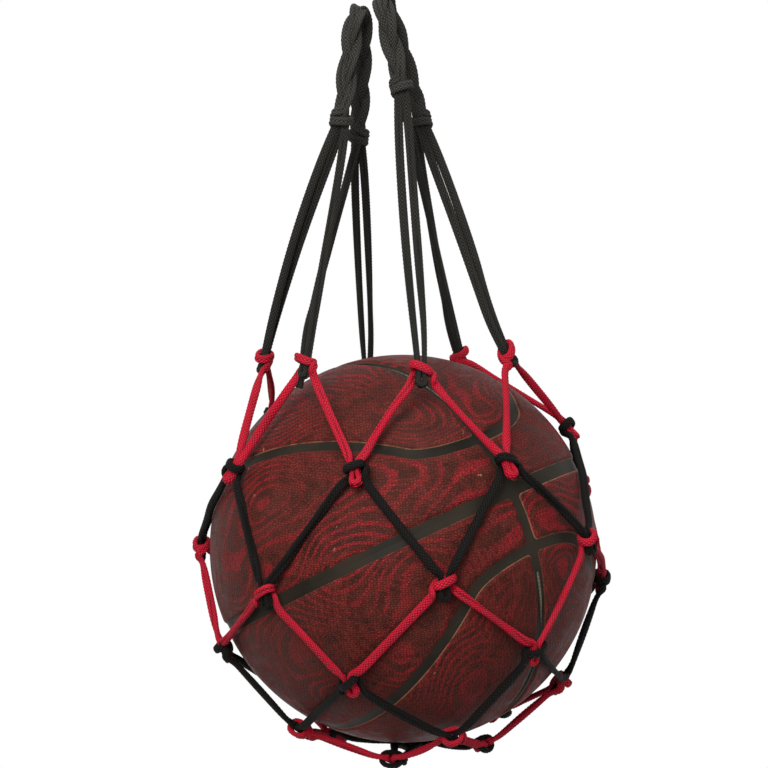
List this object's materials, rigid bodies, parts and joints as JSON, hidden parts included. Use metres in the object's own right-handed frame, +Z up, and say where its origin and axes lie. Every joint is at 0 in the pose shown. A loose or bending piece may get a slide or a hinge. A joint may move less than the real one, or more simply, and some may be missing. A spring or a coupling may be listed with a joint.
{
  "type": "mesh ball bag",
  "caption": "Hand-knotted two-colour mesh bag with braided twin loop handles, hanging round an eight-panel basketball.",
  "frame": {"origin": "the hang point: the underside of the left handle loop, straight above the ball centre", "axes": "+Z up along the hanging line, -Y the front, +X to the right"},
  "size_m": [0.2609, 0.2624, 0.4737],
  "materials": {
    "red_cord": "braided polyester, soft sheen",
    "black_cord": "braided polyester, soft sheen",
    "composite_cover": "pebbled composite leather, satin",
    "black_rubber": "smooth matt",
    "wound_thread": "latex-dipped nylon winding",
    "butyl_rubber": "smooth",
    "valve_rubber": "smooth"
  },
  "bodies": {
    "net": {"black_knots_row_2": "black_cord", "black_knots_row_4": "black_cord", "black_knots_row_6": "black_cord", "black_net_cords_row_2": "black_cord", "black_net_cords_row_4": "black_cord", "black_net_cords_row_6": "black_cord", "bottom_gather_cord": "black_cord", "red_knots_row_1": "red_cord", "red_knots_row_3": "red_cord", "red_knots_row_5": "red_cord", "red_net_cords_row_1": "red_cord", "red_net_cords_row_3": "red_cord", "red_net_cords_row_5": "red_cord"},
    "ball": {"ball_bladder": "butyl_rubber", "ball_channel_strips": "black_rubber", "ball_lower_left_curved_panel": "composite_cover", "ball_lower_left_oval_panel": "composite_cover", "ball_lower_right_curved_panel": "composite_cover", "ball_lower_right_oval_panel": "composite_cover", "ball_upper_left_curved_panel": "composite_cover", "ball_upper_left_oval_panel": "composite_cover", "ball_upper_right_curved_panel": "composite_cover", "ball_upper_right_oval_panel": "composite_cover", "ball_valve": "valve_rubber", "ball_wound_carcass": "wound_thread"},
    "left_handle": {"left_front_end_knot": "black_cord", "left_front_leg_1": "black_cord", "left_front_leg_2": "black_cord", "left_front_shared_leg": "black_cord", "left_rear_end_knot": "black_cord", "left_rear_leg_1": "black_cord", "left_rear_leg_2": "black_cord", "left_rear_shared_leg": "black_cord"},
    "left_grip": {"left_braid_inner_strand": "black_cord", "left_braid_middle_strand": "black_cord", "left_braid_outer_strand": "black_cord"},
    "right_handle": {"right_front_end_knot": "black_cord", "right_front_leg_1": "black_cord", "right_front_leg_2": "black_cord", "right_front_shared_leg": "black_cord", "right_rear_end_knot": "black_cord", "right_rear_leg_1": "black_cord", "right_rear_leg_2": "black_cord", "right_rear_shared_leg": "black_cord"},
    "right_grip": {"right_braid_inner_strand": "black_cord", "right_braid_middle_strand": "black_cord", "right_braid_outer_strand": "black_cord"}
  },
  "joints": [
    {"name": "ball_spin", "type": "hinge", "parent": "net", "child": "ball", "pos_m": [0, 0, -0.329], "axis": [0, 0, 1], "continuous": true},
    {"name": "left_handle_swing", "type": "hinge", "parent": "net", "child": "left_handle", "pos_m": [-0.07694, 0.01219, -0.20434], "axis": [-0.1736, -0.9848, 0], "range_deg": [0, 155]},
    {"name": "right_handle_swing", "type": "hinge", "parent": "net", "child": "right_handle", "pos_m": [0.06969, -0.02958, -0.203], "axis": [0.1736, 0.9848, 0], "range_deg": [0, 130]},
    {"name": "left_grip_fold", "type": "hinge", "parent": "left_handle", "child": "left_grip", "pos_m": [-0.019, -0.02, -0.058], "axis": [-0.2077, -0.9233, 0.3231], "range_deg": [0, 75]},
    {"name": "right_grip_fold", "type": "hinge", "parent": "right_handle", "child": "right_grip", "pos_m": [0.018, -0.02, -0.041], "axis": [0.2295, 0.8346, -0.5008], "range_deg": [0, 75]}
  ]
}
